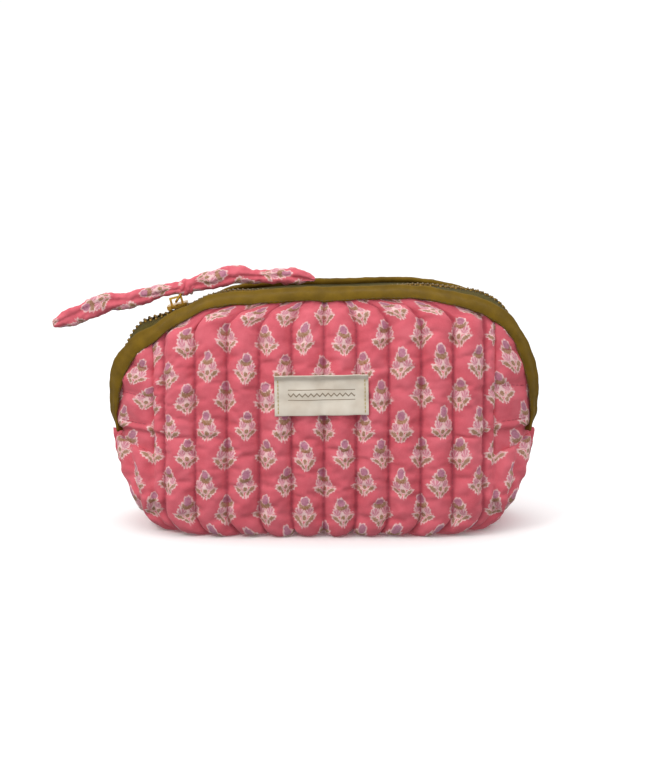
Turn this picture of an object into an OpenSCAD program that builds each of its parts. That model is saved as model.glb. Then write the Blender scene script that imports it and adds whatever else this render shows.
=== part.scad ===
// Quilted makeup bag that stands on its base, with an arched zip, bound edges,
// a woven label and a padded tie on the zip pull.
// +Z is up, -Y is the front, and the origin is the middle of the base.

/* [Bag] */
// Width across the two ends of the zip
body_w = 228; // [220:2:236]
// Height of the zip at the middle of its arch
body_h = 130; // [127:1:134]
// Depth of the bag where it is fullest
body_d = 82; // [78:1:88]
// Depth between the walls' outer faces at the zip
top_d = 38; // [37:1:42]
// Half of the width of the base at its lower edge
foot_half_w = 90; // [84:1:94]
// Half of the depth of the base at its lower edge
foot_half_d = 38; // [34:1:39]
// Radius of the turn from the walls to the base
foot_r = 7; // [6.5:0.5:9]
// Distance from the middle to the seams at the front corners
corner_x = 92; // [88:1:94]
// Height of the fold that the wrapped lower ends finish at
fold_z = 45; // [40:1:50]

/* [Quilt] */
// Thickness of the printed outer cotton
outer_t = 0.8; // [0.6:0.1:1]
// Thickness of the wadding
wadding_t = 3.4; // [3:0.1:3.6]
// Thickness of the lining cotton
lining_t = 0.8; // [0.6:0.1:0.8]
// Width of a quilted channel
channel = 17; // [14:0.5:20]
// Width of a quilting stitch line
thread_w = 0.7; // [0.5:0.1:1]

/* [Binding] */
// Width of the bias binding on the outside
binding_w = 8; // [7:0.5:9]
// Thickness of the folded binding
binding_t = 1; // [0.8:0.1:1.2]

/* [Zip] */
// Height of the two ends of the zip
zip_end_z = 55; // [52:1:58]
// Radius of the top of the zip's arch
top_r = 320; // [310:5:340]
// Radius of the arch's shoulders
shoulder_r = 45; // [42:1:47]
// Gap between the two bindings at the top
mouth_gap = 28; // [26:1:30]
// Gap between the two bindings at the ends of the zip
end_gap = 8.8; // [8.6:0.2:10]
// Distance from one tooth to the next
tooth_pitch = 2.8; // [2.6:0.1:3.2]
// Thickness of the zip tape
tape_t = 0.6; // [0.5:0.1:0.6]

/* [Slider and pull] */
// Angle of the slider from the top of the arch, to the left
slider_angle = 14.3; // [10:0.1:14.3]
// Length of the slider
slider_l = 11; // [9:0.5:12]
// Diameter of the pull's wire
wire_d = 1.4; // [1:0.1:1.4]
// Length of the pull's wire loop
pull_l = 9.5; // [8:0.5:14]
// Lean of the pull to the right of upright
pull_lean = 34; // [20:1:45]

/* [Label] */
// Width of the woven label
label_w = 49; // [40:1:60]
// Height of the woven label
label_h = 21; // [16:1:26]
// Height of the label's middle
label_z = 77.7; // [70:0.1:85]

/* [Tie] */
// Length of the knot
knot_l = 10; // [8:0.5:11]
// Depth of the padded tie from front to back
tie_d = 7.5; // [6:0.5:9]

/* [Hidden] */
$fn = 32;

cotton = [0.80, 0.42, 0.47];
wadding_white = [0.93, 0.91, 0.88];
lining_pink = [0.88, 0.66, 0.68];
thread_pink = [0.66, 0.24, 0.30];
olive = [0.47, 0.36, 0.07];
tape_olive = [0.36, 0.34, 0.16];
brass = [0.45, 0.34, 0.14];
gold = [0.80, 0.65, 0.28];
cream = [0.86, 0.81, 0.75];

// Depths of the layers' faces under the bag's outer face
wadding_in = outer_t + wadding_t;
quilt_t = wadding_in + lining_t;

// Joins between the front, the back and the still part between them
clearance = 0.15;
base_rim_z = 14;
wall_z = base_rim_z + 2 * clearance;

// The arch: one top arc, two shoulder arcs and two upright ends
half_w = body_w / 2;
shoulder_x = half_w - shoulder_r;
top_z = body_h - top_r;
join_angle = asin(shoulder_x / (top_r - shoulder_r));
join_x = top_r * sin(join_angle);
join_z = top_z + top_r * cos(join_angle);
shoulder_z = top_z + (top_r - shoulder_r) * cos(join_angle);
upright = shoulder_z - zip_end_z;
shoulder_arc = shoulder_r * (90 - join_angle) * PI / 180;
top_arc = top_r * join_angle * PI / 180;
half_arch = upright + shoulder_arc + top_arc;

// Zip chain, below the arch line
teeth_top = 2;
teeth_h = 2.6;
tooth_l = 1.3;
teeth_in = 0.6;
teeth_out = 3.4;
tape_top = 3;
stop_l = 2.4;

// Point of the right half of the arch at distance s from its end: [x, z, outward x, outward z]
function right_arch(s) =
    s < upright ? [half_w, zip_end_z + s, 1, 0]
    : s < upright + shoulder_arc
        ? let (a = (s - upright) / shoulder_r * 180 / PI)
            [shoulder_x + shoulder_r * cos(a), shoulder_z + shoulder_r * sin(a), cos(a), sin(a)]
        : let (a = join_angle - (s - upright - shoulder_arc) / top_r * 180 / PI)
            [top_r * sin(a), top_z + top_r * cos(a), sin(a), cos(a)];

// The same for the whole arch, from its right end to its left end
function arch(s) =
    s <= half_arch ? right_arch(s)
    : let (p = right_arch(2 * half_arch - s)) [-p[0], p[1], -p[2], p[3]];

// Height of the arch above a point x
function arch_z(x) =
    abs(x) < join_x ? top_z + sqrt(pow(top_r, 2) - pow(x, 2))
    : shoulder_z + sqrt(pow(shoulder_r, 2) - pow(abs(x) - shoulder_x, 2));

// How far the walls draw in near the base at height z, for the face at depth off
function foot_turn(z, off) =
    let (r = foot_r - off, up = max(z - off, 0))
        up < r ? r - sqrt(pow(r, 2) - pow(r - up, 2)) : 0;

// Half of the bag's width at height z
function half_width(z, off) =
    (z < zip_end_z
        ? half_w - (half_w - foot_half_w) * pow((zip_end_z - z) / zip_end_z, 1.9)
            - foot_turn(z, off)
        : z < shoulder_z ? half_w
        : z < join_z ? shoulder_x + sqrt(pow(shoulder_r, 2) - pow(z - shoulder_z, 2))
        : sqrt(max(pow(top_r, 2) - pow(z - top_z, 2), 0.01))) - off;

// Half of the bag's depth on its middle line at height z
full_z = 30;
function half_depth(z, off) =
    (z < full_z
        ? body_d / 2 - (body_d / 2 - foot_half_d) * pow((full_z - z) / full_z, 2)
            - foot_turn(z, off)
        : let (t = min((z - full_z) / (body_h - full_z), 1))
            (top_d + (body_d - top_d) * pow(1 - t * t, 0.7)) / 2) - off;

// Half of the gap between the bindings at height z
function half_gap(z) =
    let (t = max((z - zip_end_z) / (body_h - zip_end_z), 0))
        (end_gap + (mouth_gap - end_gap) * pow(t, 0.8)) / 2;

// Depth of the wall's edge at the zip, or at the side under the zip
edge_out = 4.4;
edge_in = 1.4;
function edge_depth(z, off) =
    z < zip_end_z ? 0 : half_gap(z) + edge_out - (edge_out - edge_in) * off / quilt_t;

// Share of the depth that is left at a share r of the half width
function fullness(r, z) =
    let (k = min(max((z - 20) / 45, 0), 1))
        pow(max(1 - pow(min(r, 1), 6.2 - 1.2 * k), 0), 0.3 + 0.9 * k);

// Distance of the wall's face from the middle plane
function wall_y(x, z, off) =
    let (e = edge_depth(z, off))
        e + max(half_depth(z, off) - e, 0) * fullness(abs(x) / half_width(z, off), z);

// Solid between two grids of points, seen from outside with columns to the right and rows up
module slab(outer, inner) {
    rows = len(outer);
    cols = len(outer[0]);
    count = rows * cols;
    function o(r, c) = r * cols + c;
    function n(r, c) = count + r * cols + c;
    top = rows - 1;
    end = cols - 1;
    polyhedron(
        points = concat([for (row = outer) each row], [for (row = inner) each row]),
        faces = concat(
            [for (r = [0:top - 1], c = [0:end - 1]) each [
                [o(r, c), o(r + 1, c), o(r + 1, c + 1)], [o(r, c), o(r + 1, c + 1), o(r, c + 1)],
                [n(r, c), n(r + 1, c + 1), n(r + 1, c)], [n(r, c), n(r, c + 1), n(r + 1, c + 1)]
            ]],
            [for (c = [0:end - 1]) each [
                [o(0, c), o(0, c + 1), n(0, c + 1)], [o(0, c), n(0, c + 1), n(0, c)],
                [o(top, c + 1), o(top, c), n(top, c)], [o(top, c + 1), n(top, c), n(top, c + 1)]
            ]],
            [for (r = [0:top - 1]) each [
                [o(r + 1, 0), o(r, 0), n(r, 0)], [o(r + 1, 0), n(r, 0), n(r + 1, 0)],
                [o(r, end), o(r + 1, end), n(r + 1, end)], [o(r, end), n(r + 1, end), n(r, end)]
            ]]
        )
    );
}

// Solid tube through a list of rings that have the same number of points
module sweep(rings) {
    sides = len(rings[0]);
    last = len(rings) - 1;
    function at(i, k) = i * sides + k % sides;
    polyhedron(
        points = [for (ring = rings) each ring],
        faces = concat(
            [for (i = [0:last - 1], k = [0:sides - 1]) each [
                [at(i, k), at(i + 1, k), at(i + 1, k + 1)], [at(i, k), at(i + 1, k + 1), at(i, k + 1)]
            ]],
            [[for (k = [0:sides - 1]) at(0, k)]],
            [[for (k = [sides - 1:-1:0]) at(last, k)]]
        )
    );
}

// One layer of the front wall, from the base's rim to inside the binding
wall_cols = 16;
wall_rows = 9;
tuck = 1.5;
function wall_grid(off) =
    [for (r = [0:wall_rows]) [for (c = [0:wall_cols])
        let (
            x = (corner_x - clearance) * (2 * c / wall_cols - 1),
            z = wall_z + (arch_z(x) - tuck - wall_z) * (1 - pow(1 - r / wall_rows, 1.2))
        ) [x, -wall_y(x, z, off), z]
    ]];
module wall_layer(from, to) slab(wall_grid(from), wall_grid(to));

// One layer of a quarter of an end wall, front right, between two of its faces
function end_grid(from, off, zs, inset) =
    [for (z = zs) [for (k = [0:end_cols])
        let (
            x_end = z < zip_end_z ? half_width(z, off) : half_width(z, 0) - inset,
            x = corner_x + clearance + (x_end - corner_x - clearance) * sin(90 * k / end_cols)
        ) [x, k == end_cols && z < zip_end_z ? 0 : -wall_y(x, z, off), z]
    ]];
end_cols = 7;
module end_layer(from, to, zs, inset = 0) {
    for (side = [0, 1]) mirror([0, side, 0])
        slab(end_grid(from, from, zs, inset), end_grid(from, to, zs, inset));
}

// One layer of the low pan that the base and the foot of the walls make
pan_cols = 20;
pan_zs = [0, 0.15, 0.4, 0.7, 1];
function pan_ring(z, off) =
    let (
        a = half_width(z, off),
        side = [for (k = [0:pan_cols - 1]) let (r = -cos(180 * k / pan_cols)) [a * r, wall_y(a * r, z, off)]]
    ) concat([for (p = side) [p[0], -p[1], z]], [for (p = side) [-p[0], p[1], z]]);
function pan_rings(off) = [for (t = pan_zs) pan_ring(off + (base_rim_z - off) * t, off)];
module pan_layer(from, to) {
    outer = pan_rings(from);
    inner = pan_rings(to);
    rows = len(outer);
    cols = len(outer[0]);
    count = rows * cols;
    function o(r, c) = r * cols + c % cols;
    function n(r, c) = count + r * cols + c % cols;
    top = rows - 1;
    polyhedron(
        points = concat([for (row = outer) each row], [for (row = inner) each row]),
        faces = concat(
            [for (r = [0:top - 1], c = [0:cols - 1]) each [
                [o(r, c), o(r + 1, c), o(r + 1, c + 1)], [o(r, c), o(r + 1, c + 1), o(r, c + 1)],
                [n(r, c), n(r + 1, c + 1), n(r + 1, c)], [n(r, c), n(r, c + 1), n(r + 1, c + 1)]
            ]],
            [for (c = [0:cols - 1]) each [
                [o(top, c + 1), o(top, c), n(top, c)], [o(top, c + 1), n(top, c), n(top, c + 1)]
            ]],
            [[for (c = [0:cols - 1]) o(0, c)]],
            [[for (c = [cols - 1:-1:0]) n(0, c)]]
        )
    );
}

// The base with the two wrapped lower ends of the body quilt
wrap_zs = [base_rim_z - 0.01, 21, 29, 37, fold_z];
module base_layer(from, to) {
    pan_layer(from, to);
    for (side = [0, 1]) mirror([side, 0, 0]) end_layer(from, to, wrap_zs);
}

// The gusset beside one end of the zip, which stops short of the bindings
gusset_zs = [fold_z + 2 * clearance, 50, zip_end_z - 0.5, zip_end_z + 1.5, 63, 70, 78, 86, 93, 99, 103.5];
module gusset_layer(from, to) end_layer(from, to, gusset_zs, binding_w + 1.5);

// Quilting line up the wall at x
line_lift = 0.1;
line_t = 0.4;
line_rows = 8;
function line_grid(x, lift) =
    [for (r = [0:line_rows])
        let (z = wall_z + 1 + (arch_z(x) - binding_w - 3 - wall_z) * r / line_rows)
            [for (c = [-0.5, 0.5]) [x + c * thread_w, -wall_y(x, z, 0) - lift, z]]
    ];
module wall_lines() {
    reach = floor((corner_x - 3) / channel);
    for (k = [-reach:reach])
        slab(line_grid(k * channel, line_lift + line_t), line_grid(k * channel, line_lift));
}

// Quilting lines along the outside of a gusset's two halves
module gusset_lines() {
    for (side = [0, 1]) mirror([0, side, 0]) for (z = [63, 78, 90]) {
        x_end = half_width(z, 0) - binding_w - 2.5;
        xs = [for (k = [0:4]) corner_x + 1 + (x_end - corner_x - 1) * k / 4];
        slab(
            [for (c = [-0.5, 0.5]) [for (x = xs) [x, -wall_y(x, z, 0) - line_lift - line_t - 0.3, z + c * thread_w]]],
            [for (c = [-0.5, 0.5]) [for (x = xs) [x, -wall_y(x, z, 0) - line_lift - 0.3, z + c * thread_w]]]
        );
    }
}

// Folded binding over the wall's edge, cut at distance s along the arch
arch_steps = 44;
seat = 0.1;
function below_arch(s, d) =
    let (p = arch(s)) [p[0] - d * p[2], p[1] - d * p[3]];
function binding_point(s, d, off, lift) =
    let (p = below_arch(s, d)) [p[0], -wall_y(p[0], max(p[1], zip_end_z), off) - lift, p[1]];
function edge_point(s, d, y) =
    let (p = below_arch(s, d)) [p[0], -half_gap(p[1]) - y, p[1]];
function binding_ring(s) = [
    binding_point(s, binding_w, 0, binding_t),
    binding_point(s, binding_w / 2, 0, binding_t + 0.1),
    binding_point(s, 1.6, 0, binding_t - 0.1),
    edge_point(s, -1.1, edge_out - 1),
    edge_point(s, -1.1, edge_in),
    edge_point(s, 0.2, edge_in - binding_t - seat),
    binding_point(s, binding_w - 2, quilt_t, -binding_t - seat),
    binding_point(s, binding_w - 2, quilt_t, -seat),
    binding_point(s, 1.2, quilt_t, -seat),
    binding_point(s, 1.2, 0, seat),
    binding_point(s, binding_w / 2, 0, seat),
    binding_point(s, binding_w, 0, seat)
];
module binding() {
    reach = 2 * half_arch - 4;
    sweep([for (i = [0:arch_steps]) binding_ring(2 + reach * i / arch_steps)]);
}

// Line of topstitching on the outside of the binding
module binding_line() {
    lift = binding_t + 0.25;
    reach = 2 * half_arch - 8;
    sweep([for (i = [0:arch_steps]) let (s = 4 + reach * i / arch_steps) [
        binding_point(s, binding_w - 1, 0, lift),
        binding_point(s, binding_w - 1, 0, lift + line_t),
        binding_point(s, binding_w - 1.7, 0, lift + line_t),
        binding_point(s, binding_w - 1.7, 0, lift)
    ]]);
}

// Tape from the binding's inner face to the teeth
module tape() {
    reach = 2 * half_arch - 6;
    sweep([for (i = [0:arch_steps]) let (s = 3 + reach * i / arch_steps, g = half_gap(arch(s)[1])) [
        for (q = [[tape_top, g + 0.1], [tape_top, teeth_out], [tape_top + tape_t, teeth_out],
            [tape_top + tape_t, g + 0.1]])
            let (p = below_arch(s, q[0])) [p[0], -q[1], p[1]]
    ]]);
}

// Anything placed on the arch at distance s, its own +Z pointing out of the arch
module on_arch(s) {
    p = arch(s);
    translate([p[0], 0, p[1]]) rotate([0, atan2(p[2], p[3]), 0]) children();
}

// One row of teeth, without the room that the stops take
module teeth() {
    room = 6;
    count = floor((2 * half_arch - 2 * room) / tooth_pitch);
    for (i = [0:count]) on_arch(room + i * tooth_pitch)
        translate([-tooth_l / 2, -teeth_out, -teeth_top - teeth_h])
            cube([tooth_l, teeth_out - teeth_in, teeth_h]);
}

// Stop at the left end of a row of teeth
module top_stop() on_arch(2 * half_arch - 3)
    translate([-stop_l / 2, -teeth_out, -teeth_top - teeth_h])
        cube([stop_l, teeth_out - teeth_in, teeth_h]);

module base_outer() color(cotton) base_layer(0, outer_t);
module base_wadding() color(wadding_white) base_layer(outer_t, wadding_in);
module base_lining() color(lining_pink) base_layer(wadding_in, quilt_t);

// Lines across the base, on the inside of its lining
module base_quilting_thread() color(thread_pink) {
    reach = floor((foot_half_w - 10) / channel);
    for (k = [-reach:reach])
        translate([k * channel - thread_w / 2, -foot_half_d + foot_r + 3, quilt_t + 0.05])
            cube([thread_w, 2 * (foot_half_d - foot_r - 3), line_t]);
}

module right_gusset_outer() color(cotton) gusset_layer(0, outer_t);
module right_gusset_wadding() color(wadding_white) gusset_layer(outer_t, wadding_in);
module right_gusset_lining() color(lining_pink) gusset_layer(wadding_in, quilt_t);
module right_gusset_thread() color(thread_pink) gusset_lines();
module left_gusset_outer() mirror([1, 0, 0]) right_gusset_outer();
module left_gusset_wadding() mirror([1, 0, 0]) right_gusset_wadding();
module left_gusset_lining() mirror([1, 0, 0]) right_gusset_lining();
module left_gusset_thread() mirror([1, 0, 0]) right_gusset_thread();

// Stop across both rows at the right end of the zip
module zip_bottom_stop() color(brass) on_arch(0.6)
    translate([-1.6, -teeth_out, -teeth_top - teeth_h - 0.4])
        cube([2.4, 2 * teeth_out, teeth_h + 0.8]);

module front_outer() color(cotton) wall_layer(0, outer_t);
module front_wadding() color(wadding_white) wall_layer(outer_t, wadding_in);
module front_lining() color(lining_pink) wall_layer(wadding_in, quilt_t);
module front_quilting_thread() color(thread_pink) wall_lines();
module front_binding() color(olive) binding();
module front_binding_thread() color(olive) binding_line();
module front_zip_tape() color(tape_olive) tape();
module front_zip_teeth() color(brass) teeth();
module front_top_stop() color(brass) top_stop();

module back_outer() mirror([0, 1, 0]) front_outer();
module back_wadding() mirror([0, 1, 0]) front_wadding();
module back_lining() mirror([0, 1, 0]) front_lining();
module back_quilting_thread() mirror([0, 1, 0]) front_quilting_thread();
module back_binding() mirror([0, 1, 0]) front_binding();
module back_binding_thread() mirror([0, 1, 0]) front_binding_thread();
module back_zip_tape() mirror([0, 1, 0]) front_zip_tape();
module back_zip_teeth() mirror([0, 1, 0]) front_zip_teeth();
module back_top_stop() mirror([0, 1, 0]) front_top_stop();

// Woven label that follows the front wall, over the quilting lines
label_t = 0.5;
label_lift = 0.9;
label_cols = 8;
label_rows = 3;
function label_grid(lift) =
    [for (r = [0:label_rows]) [for (c = [0:label_cols])
        let (x = label_w * (c / label_cols - 0.5), z = label_z + label_h * (r / label_rows - 0.5))
            [x, -wall_y(x, z, 0) - lift, z]
    ]];
module label() color(cream) slab(label_grid(label_lift + label_t), label_grid(label_lift));

// Stitches down the two short ends of the label
module label_thread() color(gold) {
    stitch_pitch = 2.1;
    for (side = [-1, 1], i = [-4:4]) {
        x = side * (label_w / 2 - 1.8);
        z = label_z + i * stitch_pitch;
        translate([x - 0.3, -wall_y(x, z, 0) - label_lift - label_t - 0.9, z - 0.7]) cube([0.6, 0.5, 1.4]);
    }
}

// Slider, pull and tie, placed by an angle along the top arc
module on_top_arc() translate([0, 0, top_z]) rotate([0, -slider_angle, 0]) translate([0, 0, top_r]) children();

slider_w = 8.6;
plate_t = 1.3;
plate_gap = 0.3;
upper_z = -teeth_top + plate_gap;
lower_z = -teeth_top - teeth_h - plate_gap - plate_t;
flange_t = 0.6;
module slider_body() color(gold) on_top_arc() {
    lip = 0.75;
    for (z = [upper_z, lower_z]) translate([-slider_l / 2, -slider_w / 2, z]) cube([slider_l, slider_w, plate_t]);
    for (side = [-1, 1]) {
        y = side * (slider_w / 2 - flange_t / 2);
        translate([-slider_l / 2, y - flange_t / 2, upper_z - lip]) cube([slider_l, flange_t, lip + 0.01]);
        translate([-slider_l / 2, y - flange_t / 2, lower_z + plate_t - 0.01])
            cube([slider_l, flange_t, lip + 0.01]);
    }
    translate([-slider_l / 2, -0.35, lower_z + plate_t - 0.01])
        cube([2, 0.7, upper_z - lower_z - plate_t + 0.02]);
}

bridge_w = 1.8;
bridge_l = 7;
bridge_t = 1.1;
bridge_h = 2.9;
module slider_bridge() color(gold) on_top_arc() {
    base = upper_z + plate_t;
    for (side = [-1, 1])
        translate([side * (bridge_l - bridge_t) / 2 - bridge_t / 2, -bridge_w / 2, base])
            cube([bridge_t, bridge_w, bridge_h]);
    translate([-bridge_l / 2, -bridge_w / 2, base + bridge_h]) cube([bridge_l, bridge_w, 1]);
}

// Centre of the loop's cross bar, where the pull swings
pivot_z = upper_z + plate_t + 1.4;
loop_half_w = 2.6;
module on_pull() on_top_arc() translate([0, 0, pivot_z]) rotate([0, slider_angle + pull_lean, 0]) children();
module pull_loop() color(gold) on_pull() {
    for (z = [0, pull_l]) translate([0, 0, z]) {
        rotate([90, 0, 0]) cylinder(d = wire_d, h = 2 * loop_half_w, center = true);
        for (side = [-1, 1]) translate([0, side * loop_half_w, 0]) sphere(d = wire_d);
    }
    for (side = [-1, 1]) translate([0, side * loop_half_w, 0]) cylinder(d = wire_d, h = pull_l);
}

// Middle lines of the tie's two tails: [x, z, half height]
knot_at = [-74, 128.5];
left_tail = [[-75, 128, 3.5], [-84, 127, 3.2], [-94, 124.5, 4], [-104, 121.5, 4.6], [-116, 120, 5.2],
    [-124, 117, 5.2], [-132, 113.5, 5], [-140, 111, 4.6], [-146, 108.5, 3]];
right_tail = [[-75, 129, 3.5], [-66, 131.2, 4.2], [-59, 132.8, 5], [-52, 134.6, 5.2], [-46, 135.2, 4.8],
    [-39, 134.6, 4], [-31, 134.2, 3.4], [-25, 134.4, 4], [-18, 134.4, 4.4], [-12, 134, 4], [-5, 132.6, 1.6]];
tie_sides = 10;
function tail_ring(route, i) =
    let (
        p = route[i],
        a = route[max(i - 1, 0)],
        b = route[min(i + 1, len(route) - 1)],
        l = norm([b[0] - a[0], b[1] - a[1]]),
        u = [-(b[1] - a[1]) / l, (b[0] - a[0]) / l]
    ) [for (k = [0:tie_sides - 1])
        let (h = p[2] * cos(360 * k / tie_sides), y = -tie_d / 2 * sin(360 * k / tie_sides))
            [p[0] + h * u[0], y, p[1] + h * u[1]]
    ];
module tail(route) sweep([for (i = [0:len(route) - 1]) tail_ring(route, i)]);
module tie() color(cotton) {
    tail(left_tail);
    tail(right_tail);
    translate([knot_at[0], 0, knot_at[1]]) scale([knot_l / tie_d, 1, 1.1]) sphere(d = tie_d + 1, $fn = 20);
}

base_outer();
base_wadding();
base_lining();
base_quilting_thread();
left_gusset_outer();
left_gusset_wadding();
left_gusset_lining();
right_gusset_outer();
right_gusset_wadding();
right_gusset_lining();
left_gusset_thread();
right_gusset_thread();
zip_bottom_stop();
front_outer();
front_wadding();
front_lining();
front_quilting_thread();
front_binding();
front_binding_thread();
front_zip_tape();
front_zip_teeth();
front_top_stop();
label();
label_thread();
back_outer();
back_wadding();
back_lining();
back_quilting_thread();
back_binding();
back_binding_thread();
back_zip_tape();
back_zip_teeth();
back_top_stop();
slider_body();
slider_bridge();
pull_loop();
tie();
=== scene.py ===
import math
from contextlib import contextmanager

import bmesh
import bpy
import numpy as np
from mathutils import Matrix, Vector, noise
from mathutils.bvhtree import BVHTree


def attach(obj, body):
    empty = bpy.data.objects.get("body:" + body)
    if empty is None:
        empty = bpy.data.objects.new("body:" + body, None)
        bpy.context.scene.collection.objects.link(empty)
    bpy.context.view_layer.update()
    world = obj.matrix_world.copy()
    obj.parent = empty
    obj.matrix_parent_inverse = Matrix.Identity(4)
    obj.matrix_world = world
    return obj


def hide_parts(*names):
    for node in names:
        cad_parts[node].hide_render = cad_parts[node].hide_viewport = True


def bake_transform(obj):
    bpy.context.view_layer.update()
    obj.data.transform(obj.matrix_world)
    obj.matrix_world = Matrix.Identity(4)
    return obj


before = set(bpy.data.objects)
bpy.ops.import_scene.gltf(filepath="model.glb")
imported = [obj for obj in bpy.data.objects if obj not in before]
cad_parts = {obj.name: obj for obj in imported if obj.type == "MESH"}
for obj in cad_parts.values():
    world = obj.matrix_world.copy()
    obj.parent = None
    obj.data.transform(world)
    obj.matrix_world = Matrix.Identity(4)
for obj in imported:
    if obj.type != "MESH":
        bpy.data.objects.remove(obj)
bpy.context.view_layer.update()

MM = 0.001

# ---------------------------------------------------------------- the frame
# The bag's driving sizes, in millimetres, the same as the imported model's
HALF_W = 114.0
BODY_H = 130.0
BODY_D = 82.0
TOP_D = 38.0
FOOT_HALF_W = 90.0
FOOT_HALF_D = 38.0
FOOT_R = 7.0
CORNER_X = 91.8
ZIP_END_Z = 55.0
TOP_R = 320.0
SHOULDER_R = 45.0
MOUTH_GAP = 28.0
END_GAP = 8.8
QUILT_T = 5.0
FULL_Z = 30.0
CHANNEL = 17.0

SHOULDER_X = HALF_W - SHOULDER_R
TOP_Z = BODY_H - TOP_R
JOIN = math.asin(SHOULDER_X / (TOP_R - SHOULDER_R))
JOIN_X = TOP_R * math.sin(JOIN)
JOIN_Z = TOP_Z + TOP_R * math.cos(JOIN)
SHOULDER_Z = TOP_Z + (TOP_R - SHOULDER_R) * math.cos(JOIN)
UPRIGHT = SHOULDER_Z - ZIP_END_Z
SHOULDER_ARC = SHOULDER_R * (math.pi / 2 - JOIN)
HALF_ARCH = UPRIGHT + SHOULDER_ARC + TOP_R * JOIN


def arch(s):
    """Point of the zip's arch at distance s from its right end, and the outward direction there."""
    if s > HALF_ARCH:
        x, z, nx, nz = arch(2 * HALF_ARCH - s)
        return -x, z, -nx, nz
    if s < UPRIGHT:
        return HALF_W, ZIP_END_Z + s, 1.0, 0.0
    if s < UPRIGHT + SHOULDER_ARC:
        a = (s - UPRIGHT) / SHOULDER_R
        nx, nz = math.cos(a), math.sin(a)
        return SHOULDER_X + SHOULDER_R * nx, SHOULDER_Z + SHOULDER_R * nz, nx, nz
    a = JOIN - (s - UPRIGHT - SHOULDER_ARC) / TOP_R
    nx, nz = math.sin(a), math.cos(a)
    return TOP_R * nx, TOP_Z + TOP_R * nz, nx, nz


def from_end(s):
    """Distance along the arch from the nearer end of the zip."""
    return min(s, 2 * HALF_ARCH - s)


def arch_z(x):
    """Height of the arch above x."""
    x = abs(x)
    if x < JOIN_X:
        return TOP_Z + math.sqrt(TOP_R**2 - x**2)
    return SHOULDER_Z + math.sqrt(max(SHOULDER_R**2 - (x - SHOULDER_X) ** 2, 0))


def foot_turn(z, off):
    """How far the turn into the base draws the wall in at height z."""
    r = FOOT_R - off
    up = max(z - off, 0)
    return r - math.sqrt(r * r - (r - up) ** 2) if up < r else 0.0


def half_width(z, off=0.0):
    """Half of the body's width at height z, off mm under the outer face."""
    if z < ZIP_END_Z:
        w = HALF_W - (HALF_W - FOOT_HALF_W) * ((ZIP_END_Z - z) / ZIP_END_Z) ** 1.9 - foot_turn(z, off)
    elif z < SHOULDER_Z:
        w = HALF_W
    elif z < JOIN_Z:
        w = SHOULDER_X + math.sqrt(SHOULDER_R**2 - (z - SHOULDER_Z) ** 2)
    else:
        w = math.sqrt(max(TOP_R**2 - (z - TOP_Z) ** 2, 0.01))
    return w - off


def half_depth(z, off=0.0):
    """Half of the body's depth at the middle of its width."""
    if z < FULL_Z:
        d = BODY_D / 2 - (BODY_D / 2 - FOOT_HALF_D) * ((FULL_Z - z) / FULL_Z) ** 2 - foot_turn(z, off)
    else:
        t = min((z - FULL_Z) / (BODY_H - FULL_Z), 1)
        d = (TOP_D + (BODY_D - TOP_D) * (1 - t * t) ** 0.7) / 2
    return d - off


def half_gap(z):
    """Half of the gap between the two bindings."""
    t = max((z - ZIP_END_Z) / (BODY_H - ZIP_END_Z), 0)
    return (END_GAP + (MOUTH_GAP - END_GAP) * t**0.8) / 2


def wall_y(x, z, off=0.0):
    """Distance of the wall's face from the middle plane, off mm under the outer face."""
    edge = 0.0 if z < ZIP_END_Z else half_gap(z) + 4.4 - 3.0 * off / QUILT_T
    k = min(max((z - 20) / 45, 0), 1)
    r = min(abs(x) / half_width(z, off), 1)
    full = max(1 - r ** (6.2 - 1.2 * k), 0) ** (0.3 + 0.9 * k)
    return edge + max(half_depth(z, off) - edge, 0) * full


def ease(x, low, high):
    """0 at low and 1 at high, smooth between; low may be above high."""
    t = np.clip((np.asarray(x, dtype=float) - low) / (high - low), 0, 1)
    return t * t * (3 - 2 * t)


def slump(x, y, z):
    """How far the soft body stands above or below the even arch: high right shoulder, low left one."""
    high = 4.8 * ease(x, 2, 60) * ease(x, 116, 96)
    low = -4.6 * ease(x, -74, -94) * ease(x, -116, -106) + 1.3 * ease(x, -36, -52) * ease(x, -74, -60)
    back = -5.0 * (ease(x, -38, -72) + ease(x, 74, 94)) * ease(abs(x), 117, 107) * ease(y, 3, 11)
    front = -2.4 * ease(x, -60, -76) * ease(x, -102, -90) * ease(y, -2, -9)
    return (high + low + back + front) * ease(z, 46, 104)


# ---------------------------------------------------------------- mesh helpers
CLOTH_UNIT = 100.0  # millimetres of flat cloth in one unit of the cloth UV layer
CLOTH_SCALE = 0.01


def corners_of(mesh):
    """The point that each face corner belongs to."""
    index = np.empty(len(mesh.loops), dtype=np.int32)
    mesh.loops.foreach_get("vertex_index", index)
    return index


def new_object(name, verts, faces, uvs=None):
    """Object from points in millimetres; uvs gives each point's place on the flat cloth, in millimetres."""
    mesh = bpy.data.meshes.new(name)
    mesh.from_pydata([tuple(c * MM for c in v) for v in verts], [], faces)
    if uvs is not None:
        layer = mesh.uv_layers.new(name="cloth")
        placed = np.asarray(uvs, dtype=np.float32)[corners_of(mesh)] * CLOTH_SCALE
        layer.data.foreach_set("uv", placed.ravel())
    mesh.shade_smooth()
    obj = bpy.data.objects.new(name, mesh)
    bpy.context.scene.collection.objects.link(obj)
    return obj


def grid_faces(rows, cols, start=0, loop=False, flip=False):
    """Quads between rows of points; loop joins the last column to the first."""
    faces = []
    for r in range(rows - 1):
        low, high = start + r * cols, start + (r + 1) * cols
        for c in range(cols if loop else cols - 1):
            d = (c + 1) % cols
            quad = (low + c, low + d, high + d, high + c)
            faces.append(quad[::-1] if flip else quad)
    return faces


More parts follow.
